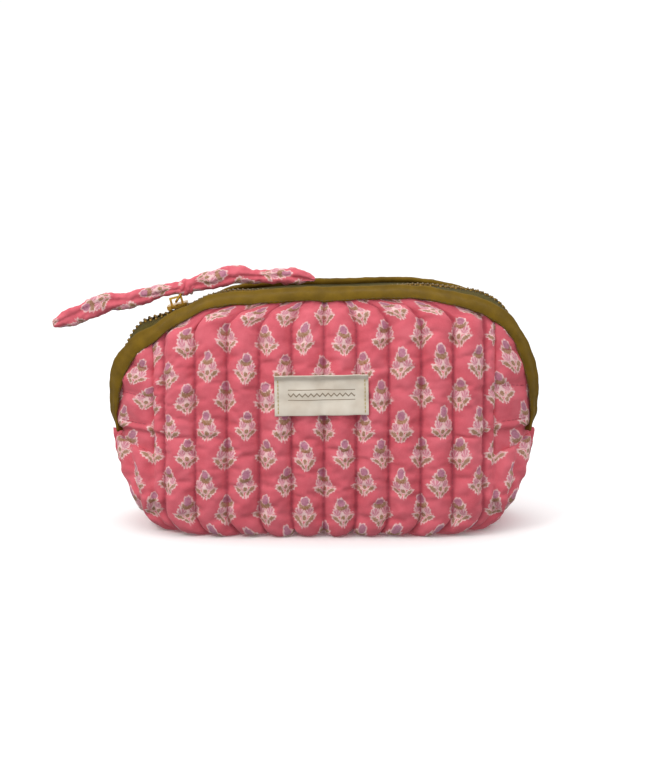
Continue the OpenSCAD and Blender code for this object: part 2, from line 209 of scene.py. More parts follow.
@contextmanager
def edited(obj):
    """The object's mesh as a bmesh, written back at the end."""
    bm = bmesh.new()
    bm.from_mesh(obj.data)
    yield bm
    bm.to_mesh(obj.data)
    bm.free()


def apply_modifiers(obj):
    with bpy.context.temp_override(object=obj, active_object=obj, selected_objects=[obj]):
        for name in [m.name for m in obj.modifiers]:
            bpy.ops.object.modifier_apply(modifier=name)


def settle(obj):
    """Give a soft piece the body's uneven shoulders."""
    co = points_of(obj)
    co[:, 2] += slump(*(co / MM).T) * MM
    set_points(obj, co)


def weld(obj, distance=1e-5):
    """Join points that lie in the same place."""
    with edited(obj) as bm:
        bmesh.ops.remove_doubles(bm, verts=bm.verts, dist=distance)


def face_outward(obj):
    with edited(obj) as bm:
        bmesh.ops.recalc_face_normals(bm, faces=bm.faces)


def subdivide(obj, levels=1):
    mod = obj.modifiers.new("subdivide", "SUBSURF")
    mod.levels = mod.render_levels = levels
    apply_modifiers(obj)


def read_points(obj, what):
    values = np.empty(len(obj.data.vertices) * 3, dtype=np.float32)
    obj.data.vertices.foreach_get(what, values)
    return values.reshape(-1, 3).astype(float)


def points_of(obj):
    return read_points(obj, "co")


def normals_of(obj):
    return read_points(obj, "normal")


def set_points(obj, co):
    obj.data.vertices.foreach_set("co", np.asarray(co, dtype=np.float32).ravel())
    obj.data.update()


def vertex_uv(obj):
    """Each point's place on the flat cloth, in millimetres."""
    uv = np.empty(len(obj.data.loops) * 2, dtype=np.float32)
    obj.data.uv_layers["cloth"].data.foreach_get("uv", uv)
    out = np.zeros((len(obj.data.vertices), 2))
    out[corners_of(obj.data)] = uv.reshape(-1, 2) * CLOTH_UNIT
    return out


def crumple(obj, size, amount, stretch=(1, 1, 1), seed=0.0):
    """Move the points along their normals by smooth noise of the given size and amount, in millimetres."""
    co, no = points_of(obj), normals_of(obj)
    shift = Vector((seed, seed * 1.7, -seed))
    for i, p in enumerate(co):
        q = Vector(p * stretch) / (size * MM)
        co[i] += no[i] * noise.noise(q + shift) * amount * MM
    set_points(obj, co)


# ---------------------------------------------------------------- materials
def linear(rgb):
    """Shader colour from an sRGB colour of 0 to 255."""
    parts = [v / 255 for v in rgb]
    return tuple(c / 12.92 if c <= 0.04045 else ((c + 0.055) / 1.055) ** 2.4 for c in parts) + (1.0,)


class Field:
    """A value that a node material works out; arithmetic on it adds math nodes."""

    def __init__(self, nodes, socket):
        self.nodes, self.socket = nodes, socket

    def __add__(self, other):
        return self.nodes.math("ADD", self, other)

    def __sub__(self, other):
        return self.nodes.math("SUBTRACT", self, other)

    def __rsub__(self, other):
        return self.nodes.math("SUBTRACT", other, self)

    def __mul__(self, other):
        return self.nodes.math("MULTIPLY", self, other)

    def __truediv__(self, other):
        return self.nodes.math("DIVIDE", self, other)

    def __neg__(self):
        return self * -1.0

    def __abs__(self):
        return self.nodes.math("ABSOLUTE", self)

    __radd__ = __add__


class Nodes:
    """Short-hand for building a node material."""

    def __init__(self, name):
        self.mat = bpy.data.materials.new(name)
        self.mat.use_nodes = True
        self.tree = self.mat.node_tree
        self.shader = self.tree.nodes["Principled BSDF"]

    def put(self, value, socket):
        if isinstance(value, Field):
            self.tree.links.new(value.socket, socket)
        else:
            socket.default_value = value

    def node(self, kind, output, inputs=None, **settings):
        """Add a node, set or link its inputs, and give one of its outputs."""
        node = self.tree.nodes.new(kind)
        for key, value in settings.items():
            setattr(node, key, value)
        for key, value in (inputs or {}).items():
            self.put(value, node.inputs[key])
        return Field(self, node.outputs[output])

    def math(self, op, *values, clamp=False):
        return self.node("ShaderNodeMath", 0, dict(enumerate(values)), operation=op, use_clamp=clamp)

    def sine(self, value):
        return self.math("SINE", value)

    def mix(self, factor, a, b):
        return self.node("ShaderNodeMix", 2, {0: factor, 6: a, 7: b}, data_type="RGBA")

    def scaled(self, vector, factor):
        return self.node("ShaderNodeVectorMath", 0, {0: vector, "Scale": factor}, operation="SCALE")

    def uv(self):
        """Place on the flat cloth, in millimetres."""
        return self.scaled(self.node("ShaderNodeUVMap", 0, uv_map="cloth"), CLOTH_UNIT)

    def object_mm(self):
        """Place in the object, in millimetres."""
        return self.scaled(self.node("ShaderNodeTexCoord", "Object"), 1 / MM)

    def split(self, vector):
        node = self.tree.nodes.new("ShaderNodeSeparateXYZ")
        self.put(vector, node.inputs[0])
        return [Field(self, socket) for socket in node.outputs]

    def noise(self, vector, scale, detail=2.0, rough=0.5):
        inputs = {"Vector": vector, "Scale": scale, "Detail": detail, "Roughness": rough}
        return self.node("ShaderNodeTexNoise", "Fac", inputs)

    def ramp(self, factor, low, high):
        """0 below low, 1 above high, smooth between."""
        inputs = {"Value": factor, "From Min": low, "From Max": high}
        return self.node("ShaderNodeMapRange", "Result", inputs, interpolation_type="SMOOTHSTEP")

    def bump(self, height, strength, distance, normal=None):
        inputs = {"Height": height, "Strength": strength, "Distance": distance * MM}
        if normal is not None:
            inputs["Normal"] = normal
        return self.node("ShaderNodeBump", "Normal", inputs)

    def finish(self, color, roughness, normal=None, metallic=0.0, sheen=0.0, specular=0.5):
        inputs = self.shader.inputs
        self.put(color, inputs["Base Color"])
        self.put(roughness, inputs["Roughness"])
        inputs["Metallic"].default_value = metallic
        inputs["Sheen Weight"].default_value = sheen
        inputs["Sheen Roughness"].default_value = 0.45
        inputs["Specular IOR Level"].default_value = specular
        if normal is not None:
            self.put(normal, inputs["Normal"])
        return self.mat

    def weave(self, x, y, pitch):
        """Height of a plain weave of threads at the given pitch, in cloth millimetres."""
        turn = 2 * math.pi / pitch
        return self.sine(x * turn) * self.sine(y * turn)


PINK = linear((221, 106, 119))
PINK_DEEP = linear((209, 90, 103))
PINK_PALE = linear((230, 132, 142))
# Painted shade: the darker pink that stands for the shadow in the quilting creases
PINK_SEAM_SHADE = linear((150, 48, 66))
PINK_WEFT = linear((120, 44, 58))
HALO = linear((246, 224, 220))
MAUVE = linear((168, 88, 124))
MAUVE_PALE = linear((196, 98, 126))
LEAF = linear((138, 98, 38))
OLIVE = linear((122, 94, 12))
OLIVE_DARK = linear((100, 76, 8))
SPRIG_PITCH_X = 20.4
SPRIG_PITCH_Y = 30.0


def ellipse(n, x, y, cx, cy, rx, ry, turn=0.0):
    """Rough distance in millimetres outside an ellipse, negative inside it."""
    c, s = math.cos(turn), math.sin(turn)
    dx, dy = x - cx, y - cy
    a = dx * (c / rx) + dy * (s / rx)
    b = dx * (-s / ry) + dy * (c / ry)
    return (n.math("SQRT", a * a + b * b) - 1.0) * min(rx, ry)


def union(n, shapes):
    out = shapes[0]
    for shape in shapes[1:]:
        out = n.math("MINIMUM", out, shape)
    return out


def sprig_cells(n, x, y):
    """Place within the nearest sprig's cell of a half-drop repeat, with three random numbers for the cell."""
    def lattice(shift_x, shift_y):
        u, v = x + shift_x, y + shift_y
        cell_x, cell_y = n.math("FLOOR", u / SPRIG_PITCH_X), n.math("FLOOR", v / SPRIG_PITCH_Y)
        lx = u - cell_x * SPRIG_PITCH_X - SPRIG_PITCH_X / 2
        ly = v - cell_y * SPRIG_PITCH_Y - SPRIG_PITCH_Y / 2
        return lx, ly, cell_x, cell_y

    first, second = lattice(0.0, 0.0), lattice(SPRIG_PITCH_X / 2, SPRIG_PITCH_Y / 2)
    reach = abs(second[0]) / (SPRIG_PITCH_X / 2) + abs(second[1]) / (SPRIG_PITCH_Y / 2)
    pick = n.math("LESS_THAN", reach, 1.0)

    def choose(i, offset=0.0):
        return first[i] + pick * (second[i] + offset - first[i])

    cell = n.node("ShaderNodeCombineXYZ", 0, {0: choose(2, 0.5), 1: choose(3, 0.5)})
    dice = n.split(n.node("ShaderNodeTexWhiteNoise", "Color", {"Vector": cell}, noise_dimensions="2D"))
    return choose(0), choose(1), [d - 0.5 for d in dice]


def printed_cotton(name, quilted=False):
    """Pink cotton block-printed with small flowering sprigs; quilted adds painted shade along the creases of
    the seams.
    """
    n = Nodes(name)
    flat = n.uv()
    x0, y0, _ = n.split(flat)
    x = x0 + (n.noise(flat, 0.045, 2.0) - 0.5) * 5.0
    y = y0 + (n.noise(flat, 0.05, 3.0) - 0.5) * 5.0
    lx, ly, dice = sprig_cells(n, x, y)
    lx, ly = lx + dice[0] * 1.2, ly + dice[1] * 1.2
    lx = (lx + ly * (dice[2] * 0.16)) * 1.2
    # The second block's colours sit a little off the first's, as hand printing leaves them
    mx, my = lx + dice[1], ly + dice[0] * 0.8
    ax, amx = abs(lx), abs(mx)
    ragged = (n.noise(flat, 1.15, 3.0, 0.65) - 0.5) * 2.0

    def inside(shape, soft=0.3):
        return 1.0 - n.ramp(shape + ragged, -soft, soft)

    # A bud over a cup, two round flowers, a seed and low leaves, each outlined by unprinted cloth
    bud = ellipse(n, mx, my, 0.0, 5.9, 2.2, 2.3)
    flowers = union(n, [ellipse(n, amx, my, 2.9, 0.7, 2.0, 1.9), ellipse(n, amx, my, 0.95, 2.1, 0.8, 1.0)])
    cup = n.math("MAXIMUM", ellipse(n, lx, ly, 0.0, 3.7, 3.3, 2.1), -ellipse(n, lx, ly, 0.0, 5.7, 2.7, 1.9))
    leaves = [ellipse(n, ax, ly, 4.1, -2.9, 2.1, 0.95, 0.55), ellipse(n, ax, ly, 1.75, -5.0, 1.3, 0.7, 1.0)]
    seed = ellipse(n, lx, ly, 0.0, -2.5, 1.2, 1.2)
    green = union(n, [cup, *leaves, seed])
    body = union(n, [bud, flowers, green, ellipse(n, lx, ly, 0.0, -1.4, 1.3, 1.9)])
    fringe = n.sine(n.math("ARCTAN2", lx, ly + 1.0) * 23.0)
    halo = body - (fringe * 0.22 + 0.55)
    rays = n.sine(n.math("ARCTAN2", amx - 2.9, my + 1.0) * 9.0)
    veins = n.ramp(rays, 0.6, 0.95) * inside(flowers, 0.35)

    ground = n.mix(n.ramp(n.noise(flat, 0.06, 3.0, 0.6), 0.3, 0.7), PINK_DEEP, PINK)
    ground = n.mix(n.ramp(n.noise(flat, 1.6, 4.0, 0.7), 0.45, 0.75) * 0.3, ground, PINK_PALE)
    ink = n.math("ADD", n.noise(flat, 0.9, 3.0, 0.7) * 0.75, 0.42, clamp=True)
    color = n.mix(inside(halo, 0.45) * (ink * 0.95), ground, HALO)
    color = n.mix(inside(flowers) * (ink * 0.95), color, MAUVE_PALE)
    color = n.mix(inside(bud) * ink, color, MAUVE)
    color = n.mix(veins * 0.6, color, HALO)
    color = n.mix(inside(green) * ink, color, LEAF)
    if quilted:
        # Painted shade: the pink darkens near each seam on the flat front, where the crease's shadow would
        # fall
        seam = n.math("ROUND", x0 / CHANNEL) * CHANNEL
        seam_shade = 1.0 - n.ramp(abs(x0 - seam), 0.2, 1.7)
        on_front = n.math("LESS_THAN", abs(x0), CORNER_X - 2)
        color = n.mix(seam_shade * (on_front * 0.5), color, PINK_SEAM_SHADE)
    weave = n.weave(x0, y0, 0.62)
    slub = n.noise(flat, 2.2, 3.0, 0.7)
    color = n.mix(n.ramp(weave, -1.0, 1.0) * 0.10, color, PINK_WEFT)
    normal = n.bump(slub, 0.4, 0.25, n.bump(weave, 0.35, 0.12))
    return n.finish(color, slub * 0.12 + 0.80, normal, sheen=0.12, specular=0.2)


def plain_cloth(name, base, dark, pitch, bias=True, sheen=0.25):
    """Plain-woven cloth with slubs and slightly uneven dye."""
    n = Nodes(name)
    flat = n.uv()
    x, y, _ = n.split(flat)
    if bias:
        x, y = x + y, x - y
    weave = n.weave(x, y, pitch)
    slub = n.noise(flat, 1.4, 4.0, 0.65)
    color = n.mix(n.ramp(n.noise(flat, 0.12, 3.0), 0.25, 0.75), dark, base)
    color = n.mix(n.ramp(slub, 0.35, 0.8) * 0.35, color, dark)
    color = n.mix(n.ramp(weave, -1, 1) * 0.18, color, tuple(c * 0.45 for c in dark[:3]) + (1,))
    normal = n.bump(slub, 0.35, 0.3, n.bump(weave, 0.3, 0.15))
    return n.finish(color, slub * 0.12 + 0.76, normal, sheen=sheen, specular=0.2)


def herringbone_tape(name):
    """Zip tape woven in a herringbone twill."""
    n = Nodes(name)
    flat = n.uv()
    x, y, _ = n.split(flat)
    twill = n.sine((x + n.math("PINGPONG", y, 1.6)) * (2 * math.pi / 0.9))
    fuzz = n.noise(flat, 2.5, 3.0, 0.7)
    color = n.mix(n.ramp(twill, -0.8, 0.8), linear((54, 48, 14)), linear((112, 98, 40)))
    color = n.mix(fuzz * 0.35, color, linear((70, 62, 22)))
    normal = n.bump(fuzz, 0.3, 0.2, n.bump(twill, 0.6, 0.25))
    return n.finish(color, 0.84, normal, sheen=0.04, specular=0.1)


def metal(name, base, dark, rough, wear, patina=1.2):
    """Plated metal with patina in patches and fine scratches."""
    n = Nodes(name)
    place = n.object_mm()
    patch = n.noise(place, patina, 4.0, 0.6)
    scratch = n.noise(place, 9.0, 5.0, 0.8)
    color = n.mix(n.ramp(patch, 0.38, 0.68), base, dark)
    color = n.mix(n.ramp(scratch, 0.55, 0.8) * wear, color, dark)
    return n.finish(color, patch * 0.25 + (rough - 0.1), n.bump(scratch, 0.25, 0.06), metallic=1.0)


def thread(name, base, dark):
    """Twisted sewing thread."""
    n = Nodes(name)
    place = n.object_mm()
    x, y, z = n.split(place)
    ply = n.sine((x + y + z * 1.4) * 11.0)
    color = n.mix(n.ramp(ply, -0.6, 0.9), dark, base)
    color = n.mix(n.noise(place, 0.8, 2.0) * 0.3, color, dark)
    return n.finish(color, 0.6, n.bump(ply, 0.5, 0.12), sheen=0.15, specular=0.35)


def woven_label(name):
    """Tightly woven cream label with a plain woven chevron stripe between two thin lines."""
    n = Nodes(name)
    flat = n.uv()
    x, y, _ = n.split(flat)
    rib, weft = n.sine(x * (2 * math.pi / 0.55)), n.sine(y * (2 * math.pi / 0.4))
    color = n.mix(n.ramp(n.noise(flat, 0.1, 2.0), 0.3, 0.7), linear((212, 200, 184)), linear((226, 217, 203)))
    color = n.mix(n.ramp(rib, -1, 1) * 0.14, color, linear((176, 162, 142)))
    band = 1.0 - n.ramp(abs(y), 1.15, 1.4)
    zig = n.math("PINGPONG", x + 100.0, 1.5)
    chevron = band * n.ramp(abs(y + 0.75 - zig), 0.5, 0.3)
    lines = 1.0 - n.ramp(abs(abs(y) - 2.6), 0.12, 0.3)
    motif = n.math("MAXIMUM", chevron, lines) * n.math("LESS_THAN", abs(x), 17.5)
    color = n.mix(motif * 0.8, color, linear((112, 92, 66)))
    normal = n.bump(rib * 0.6 + weft * 0.4 + motif * 1.5, 0.5, 0.12)
    return n.finish(color, n.noise(flat, 2.0, 3.0, 0.6) * 0.15 + 0.62, normal, sheen=0.2, specular=0.3)


COTTON = printed_cotton("block_printed_cotton")
QUILTED_COTTON = printed_cotton("printed_cotton_quilted", quilted=True)
TIE_COTTON = printed_cotton("tie_printed_cotton")
LINING = plain_cloth("lining_cotton", linear((226, 170, 172)), linear((205, 140, 146)), 0.7, bias=False)
BINDING = plain_cloth("olive_bias_cotton", OLIVE, OLIVE_DARK, 0.6, sheen=0.04)
TAPE = herringbone_tape("olive_zip_tape")
TEETH = metal("antique_brass", linear((150, 118, 58)), linear((52, 38, 18)), 0.42, 0.5)
GOLD = metal("polished_gold_brass", linear((214, 168, 70)), linear((148, 104, 32)), 0.26, 0.25, 0.4)
PINK_THREAD = thread("pink_quilting_thread", linear((186, 78, 94)), linear((160, 56, 72)))
OLIVE_THREAD = thread("olive_topstitch_thread", linear((118, 92, 24)), linear((74, 56, 10)))
GOLD_THREAD = thread("gold_label_thread", linear((214, 190, 88)), linear((160, 134, 40)))
CREAM = woven_label("cream_woven_label")


def paint(obj, material):
    obj.data.materials.clear()
    obj.data.materials.append(material)


# A lean from the base to the zip for the front, and mirrored the back; no piece is turned by it
LEAN = Vector((0, -1, 0.6))


def bend_with(obj, side, sag=True):
    """Give a piece the body's uneven shoulders when sag is set, and bake its transform; side is -1 at the
    front and 1 at the back, and sets a lean that nothing uses.
    """
    if sag:
        settle(obj)
    out = Vector((LEAN.x, -side * LEAN.y, LEAN.z))
    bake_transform(obj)


# ---------------------------------------------------------------- body quilt
COL_STEP = CHANNEL / 10
BASE_ROWS, LOWER_ROWS, UPPER_ROWS = 20, 20, 50
SPLIT_Z = 43.5
EAR_RISE = 8.5
EDGE_IN = 3.4
WRAP_COLS = 20
WRAP_CLOTH = 36.0
WRAP_SEAM = 15.0
SEAM_DIP = 3.0
CORNER_DIP = 2.6
PUFF = 1.2


def corner_at(z, off):
    """Distance from the middle to the corner seam, which draws in with the narrow foot."""
    return min(CORNER_X, half_width(z, off) * 0.93)


def quilt_columns():
    """Columns across the front: (share across the flat front, share round the end, cloth x)."""
    flat = int(round(CORNER_X / COL_STEP))
    turns = [k / WRAP_COLS for k in range(1, WRAP_COLS + 1)]
    left = [(-1.0, w, -CORNER_X - WRAP_CLOTH * w) for w in reversed(turns)]
    front = [(i / flat, 0.0, CORNER_X * i / flat) for i in range(-flat, flat + 1)]
    right = [(1.0, w, CORNER_X + WRAP_CLOTH * w) for w in turns]
    return left + front + right


def seam_profile(t, lift, dip):
    """Height of a quilted channel over its seams; t counts seams."""
    u = abs(math.sin(math.pi * t))
    return -dip + (dip + lift) * u**0.48


def wall_point(share, wrap, z, off):
    """Point of the front wall; wrap runs from 0 at the corner seam to 1 at the middle of the bag's end."""
    corner = corner_at(z, off)
    x = share * corner
    if wrap > 0:
        a = half_width(z, off)
        x = math.copysign(corner + (a - corner) * math.sin(wrap * math.pi / 2), share)
    y = 0.0 if wrap >= 1 else wall_y(x, z, off)
    return Vector((x, -y, z))


def build_quilt(name, side, off, lift, dip):
    """Half of the body quilt: half the base, the wall up to the zip and the wrapped lower ends."""
    cols = quilt_columns()
    inner = [c for c in cols if c[1] == 0]
    foot = [FOOT_R * (1 - math.cos(math.radians(a))) + off for a in range(0, 91, 18)]
    girth = -half_depth(off, off)
    verts, uvs, rows = [], [], []

    def add_row(points, heights, which):
        rows.append((len(verts), len(points)))
        verts.extend(points)
        uvs.extend([(c[2], h) for c, h in zip(which, heights)])

    for j in range(BASE_ROWS):
        k = j / BASE_ROWS
        edge = [wall_point(share, wrap, off, off) for share, wrap, _ in cols]
        add_row([Vector((p.x, p.y * k, off)) for p in edge], [girth * (1 - k)] * len(cols), cols)
    for z in foot[:-1]:
        add_row([wall_point(share, wrap, z, off) for share, wrap, _ in cols], [z * 1.3] * len(cols), cols)
    for j in range(LOWER_ROWS + 1):
        k = j / LOWER_ROWS
        tops = [SPLIT_Z + EAR_RISE * wrap**1.3 for _, wrap, _ in cols]
        heights = [foot[-1] + (top - foot[-1]) * k for top in tops]
        add_row([wall_point(c[0], c[1], z, off) for c, z in zip(cols, heights)], heights, cols)
    for j in range(1, UPPER_ROWS + 1):
        k = j / UPPER_ROWS
        heights = [SPLIT_Z + (arch_z(c[0] * CORNER_X) - 1.6 - SPLIT_Z) * k for c in inner]
        add_row([wall_point(c[0], 0, z, off) for c, z in zip(inner, heights)], heights, inner)

    faces = []
    for (low, low_count), (high, high_count) in zip(rows, rows[1:]):
        low += (low_count - high_count) // 2
        faces.extend((low + c, low + c + 1, high + c + 1, high + c) for c in range(high_count - 1))
    obj = new_object(name, verts, faces, uvs)
    weld(obj)
    smooth = points_of(obj) / MM
    shape_quilt(obj, off, lift, dip)
    lay_flat(obj, smooth)
    turn_in(obj)
    if side > 0:
        mirror_y(obj)
    if off > 0:
        obj.data.flip_normals()
    return obj


def lay_flat(obj, smooth):
    """Measure the cloth's height along the wall instead of straight up, so that its print doesn't stretch."""
    uv = vertex_uv(obj)
    keys = np.round(uv[:, 0], 2)
    for key in np.unique(keys):
        column = np.nonzero((keys == key) & (uv[:, 1] > 30))[0]
        column = column[np.argsort(uv[column, 1])]
        steps = np.linalg.norm(np.diff(smooth[column], axis=0), axis=1)
        uv[column, 1] = uv[column[0], 1] + np.concatenate(([0], np.cumsum(steps)))
    placed = (uv[corners_of(obj.data)] * CLOTH_SCALE).astype(np.float32)
    obj.data.uv_layers["cloth"].data.foreach_set("uv", placed.ravel())


def turn_in(obj):
    """Turn the open edges in: up both sides of the wall and along the tops of the wrapped ends."""
    def key(v):
        return tuple(round(c, 7) for c in v.co)

    with edited(obj) as bm:
        layer = bm.loops.layers.uv["cloth"]
        place = {loop.vert: loop[layer].uv * CLOTH_UNIT for face in bm.faces for loop in face.loops}
        rim = []
        for edge in bm.edges:
            a, b = (place[v] for v in edge.verts)
            at_side = max(abs(a.x), abs(b.x)) >= CORNER_X - 0.1 and abs(a.x) < CORNER_X + WRAP_CLOTH - 0.1
            if edge.is_boundary and min(a.y, b.y) > 20 and at_side:
                rim.append(edge)
        source = {key(v): place[v].copy() for e in rim for v in e.verts}
        made = bmesh.ops.extrude_edge_only(bm, edges=rim)["geom"]
        for face in [g for g in made if isinstance(g, bmesh.types.BMFace)]:
            for loop in face.loops:
                loop[layer].uv = source[key(loop.vert)] / CLOTH_UNIT
        for v in [g for g in made if isinstance(g, bmesh.types.BMVert)]:
            spot = source[key(v)]
            upright = abs(spot.x) < CORNER_X + 1
            past = Vector((math.copysign(EDGE_IN, spot.x), 0)) if upright else Vector((0, EDGE_IN))
            for loop in v.link_loops:
                loop[layer].uv = (spot + past) / CLOTH_UNIT
            inward = Vector((0 if upright else -v.co.x * 0.5, -v.co.y, 0))
            v.co += inward.normalized() * EDGE_IN * MM


def mirror_y(obj):
    """Make a front piece into the back one."""
    co = points_of(obj)
    co[:, 1] *= -1
    set_points(obj, co)
    obj.data.flip_normals()


def pucker(x, h, seed):
    """Small creases that a seam draws across the cloth beside it, in millimetres."""
    seam = round(x / CHANNEL)
    near = math.exp(-abs(x - seam * CHANNEL) / 3.6)
    side = 1 if x > seam * CHANNEL else -1
    return near * noise.noise(Vector((seam * 9.1 + side * 3.7 + seed, h / 3.1, seed))) * 1.1


def shape_quilt(obj, off, lift, dip):
    """Raise the channels between the seams, draw the seams in and sink the edges under the binding."""
    co, no = points_of(obj), normals_of(obj)
    uv = vertex_uv(obj)
    for i in range(len(co)):
        x, h = uv[i]
        under = arch_z(min(abs(x), CORNER_X)) - h
        amount = seam_profile(x / CHANNEL, lift, dip) + (pucker(x, h, off) if h > 2 else 0)
        if abs(x) > CORNER_X:
            round_end = abs(x) - CORNER_X
            amount = seam_profile(round_end / WRAP_SEAM, lift, dip) + pucker(round_end, h, 5.0)
        corner = float(ease(abs(abs(x) - CORNER_X), 0, 6))
        if h > SPLIT_Z or abs(x) < CORNER_X:
            amount = -max(dip, CORNER_DIP) * (1 - corner) + amount * corner
        if under < 12.5 and abs(x) <= CORNER_X:
            free = float(ease(under, 8.2, 12.5))
            amount = amount * (0.3 + 0.7 * free) - 0.75 * (1 - free)
        if h < 0:
            amount = min(amount, 0.0) * min(-h / 6, 1) * 0.5
        co[i] += no[i] * amount * MM
    co[:, 2] = np.maximum(co[:, 2], off * MM)
    set_points(obj, co)


SIM_SCALE = 20.0
SIM_FRAMES = 14


def sewn_points(obj):
    """Points that stitching or a neighbour holds: seams, edges, the foot and the top under the binding."""
    co, uv = points_of(obj) / MM, vertex_uv(obj)
    x = np.abs(uv[:, 0])
    beyond = x - CORNER_X
    on_seam = np.abs(uv[:, 0] - np.round(uv[:, 0] / CHANNEL) * CHANNEL) < 0.5
    on_wrap_seam = np.abs(beyond - np.round(beyond / WRAP_SEAM) * WRAP_SEAM) < 0.9
    under = np.array([arch_z(min(v, CORNER_X)) for v in x]) - co[:, 2]
    held = np.where(beyond > 0.1, on_wrap_seam, on_seam) | (np.abs(beyond) < 0.2) | (co[:, 2] < 2.0)
    held |= (under < 7.5) & (x < CORNER_X + 0.1) | (uv[:, 1] < 1.0)
    bm = bmesh.new()
    bm.from_mesh(obj.data)
    held[[v.index for v in bm.verts if v.is_boundary]] = True
    bm.free()
    return held


def puff_up(obj, pressure, slack, cap):
    """Fill the cloth between its seams by a short simulation, larger than life to keep the solver steady."""
    held = sewn_points(obj)
    group = obj.vertex_groups.new(name="sewn")
    group.add([int(i) for i in np.nonzero(held)[0]], 1.0, "REPLACE")
    start = points_of(obj)
    set_points(obj, start * SIM_SCALE)
    mod = obj.modifiers.new("cloth", "CLOTH")
    cloth = mod.settings
    cloth.quality = 6
    cloth.mass = 0.2
    cloth.air_damping = 2.0
    cloth.tension_stiffness = cloth.compression_stiffness = 18
    cloth.shear_stiffness = 6
    cloth.bending_stiffness = 0.4
    cloth.vertex_group_mass = "sewn"
    cloth.use_pressure = True
    cloth.uniform_pressure_force = pressure
    cloth.shrink_min = -slack
    cloth.effector_weights.gravity = 0
    mod.collision_settings.use_collision = False
    mod.point_cache.frame_start = 1
    mod.point_cache.frame_end = SIM_FRAMES
    for frame_number in range(1, SIM_FRAMES + 1):
        bpy.context.scene.frame_set(frame_number)
    evaluated = obj.evaluated_get(bpy.context.evaluated_depsgraph_get()).data
    result = np.empty(len(evaluated.vertices) * 3, dtype=np.float32)
    evaluated.vertices.foreach_get("co", result)
    obj.modifiers.clear()
    bpy.context.scene.frame_set(1)
    obj.vertex_groups.clear()
    moved = result.reshape(-1, 3).astype(float) / SIM_SCALE - start
    length = np.linalg.norm(moved, axis=1, keepdims=True)
    moved *= np.minimum(1.0, cap * MM / np.maximum(length, 1e-9))
    set_points(obj, start + moved)


front_quilt = build_quilt("front_quilt", -1, 0.0, PUFF, SEAM_DIP)
back_quilt = build_quilt("back_quilt", 1, 0.0, PUFF, SEAM_DIP)
for obj, side, nodes in (
    (front_quilt, -1, ("front_outer", "front_wadding", "base_outer", "base_wadding")),
    (back_quilt, 1, ("back_outer", "back_wadding")),
):
    paint(obj, QUILTED_COTTON)
    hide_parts(*nodes)
    puff_up(obj, pressure=14.0, slack=0.09, cap=2.8)
    subdivide(obj)
    crumple(obj, 9, 0.7, stretch=(1, 1, 1.8), seed=3 + side)
    crumple(obj, 3.2, 0.25, seed=7 + side)
    co = points_of(obj)
    co[:, 2] = np.maximum(co[:, 2], 0)
    set_points(obj, co)
    bend_with(obj, side)


# ---------------------------------------------------------------- linings
LINING_OFF = 4.5
for side, nodes in ((-1, ("front_lining", "base_lining")), (1, ("back_lining",))):
    word = "front" if side < 0 else "back"
    lining = build_quilt(word + "_lining_cloth", side, LINING_OFF, -0.7, -1.2)
    paint(lining, LINING)
    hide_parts(*nodes)
    crumple(lining, 8, 0.7, stretch=(1, 1, 1.6), seed=11 + side)
    bend_with(lining, side)


def below_arch(s, d):
    x, z, nx, nz = arch(s)
    return x - d * nx, z - d * nz


def wall_spot(s, t, off):
    x, z = below_arch(s, t)
    return Vector((x, -wall_y(x, max(z, ZIP_END_Z + 0.01), off), z))


def on_wall(s, d, off, lift):
    """Point on the wall's face, d along the face from its edge at the zip, lifted outward."""
    step, gone, t = 0.25, 0.0, 0.0
    here = wall_spot(s, t, off)
    while gone < d:
        there = wall_spot(s, t + step, off)
        gone += (there - here).length
        here, t = there, t + step
    return here.x, here.y - lift, here.z


# ---------------------------------------------------------------- gussets
GUSSET_SEAMS = (60.0, 77.0, 94.0)
GUSSET_LOW = 36.0
GUSSET_HIGH = 107.5
GUSSET_COLS = 16
GUSSET_CLOTH = 104.0  # where the gusset's print starts on the cloth, clear of the front's
GUSSET_TILT = 0.3


def build_gusset(name, end, side, off, lift, dip):
    """Half of the gusset beside one end of the zip, tucked under the wrapped end and the binding."""
    verts, uvs = [], []
    rows = int((GUSSET_HIGH - GUSSET_LOW) / COL_STEP)
    for j in range(rows + 1):
        z = GUSSET_LOW + (GUSSET_HIGH - GUSSET_LOW) * j / rows
        x_end = half_width(z, off)
        if z > ZIP_END_Z:
            rise = z - SHOULDER_Z
            s = z - ZIP_END_Z if rise < 0 else UPRIGHT + SHOULDER_R * math.asin(rise / SHOULDER_R)
            k = min((z - 52) / 6, 1)
            x_end += (on_wall(s, 1.4 + 1.2 * k, off, 0)[0] - x_end) * k
        x_start = min(CORNER_X - 2.4, x_end - 1)
        for i in range(GUSSET_COLS + 1):
            u = math.sin(math.pi / 2 * i / GUSSET_COLS)
            tucked = 1.4 * min(max((SPLIT_Z + 6 + 6 * u - z) / 5, 0), 1)
            x = x_start + (x_end - x_start) * u
            y = wall_y(x, z, off + tucked)
            if i == GUSSET_COLS and z < ZIP_END_Z - 1:
                y = 0.0
            wave = abs(math.sin(math.pi * (z - GUSSET_SEAMS[0]) / CHANNEL)) ** 0.62
            amount = (-dip + (dip + lift) * wave) * (1 - 0.95 * u**3) - u**3
            near = min(i / 4, 1)
            amount = -4.6 if i == 0 else amount * near - 2.3 * (1 - near)
            y += 0.85 * amount if y > 1 else 0
            verts.append(Vector((x + 0.55 * amount * u, -y, z)))
            uvs.append((GUSSET_CLOTH + 30 * i / GUSSET_COLS + GUSSET_TILT * (z - GUSSET_SEAMS[0]), z))
    obj = new_object(name, verts, grid_faces(rows + 1, GUSSET_COLS + 1), uvs)
    set_points(obj, points_of(obj) * (end, -side, 1))
    if (end * side > 0) != (off > 0):
        obj.data.flip_normals()
    return obj


